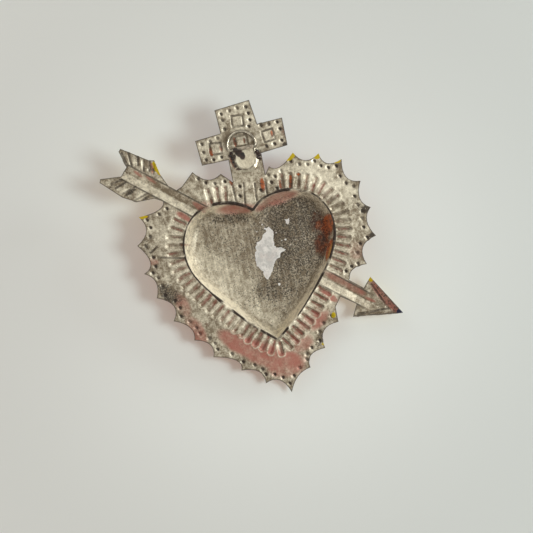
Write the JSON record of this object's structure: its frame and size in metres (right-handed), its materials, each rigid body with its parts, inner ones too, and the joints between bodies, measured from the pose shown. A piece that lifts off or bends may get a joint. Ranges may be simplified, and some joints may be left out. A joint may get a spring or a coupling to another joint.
{
  "type": "hojalata tin ornament",
  "caption": "Pierced sacred heart in embossed tin with a cross, arrow and scalloped ray border, hung by a hinged wire ring soldered to its back.",
  "frame": {"origin": "centre of the hanging ring's eye, folded up against the back of the cross", "axes": "+Z towards the top of the cross, +Y out of the domed front, -Y out of the bare back, +X to the right seen from the back"},
  "size_m": [0.1038, 0.0095, 0.1134],
  "materials": {
    "tin": "tarnished tin plate",
    "tongue_tin": "dull tin plate",
    "wire": "worn steel wire",
    "solder": "soft solder, smooth fillet",
    "flux": "burnt flux over solder",
    "paper": "torn paper"
  },
  "bodies": {
    "ornament": {"tin_sheet": "tin", "hanger_tab": "tongue_tin", "tab_solder": "solder", "solder_bead_left": "flux", "solder_bead_right": "flux", "paper_remnant": "paper", "paper_flecks": "paper"},
    "ring": {"hanger_ring": "wire"}
  },
  "joints": [
    {"name": "ring_swing", "type": "hinge", "parent": "ornament", "child": "ring", "pos_m": [0, 0, -0.0012], "axis": [1, 0, 0], "range_deg": [-4, 150]}
  ]
}
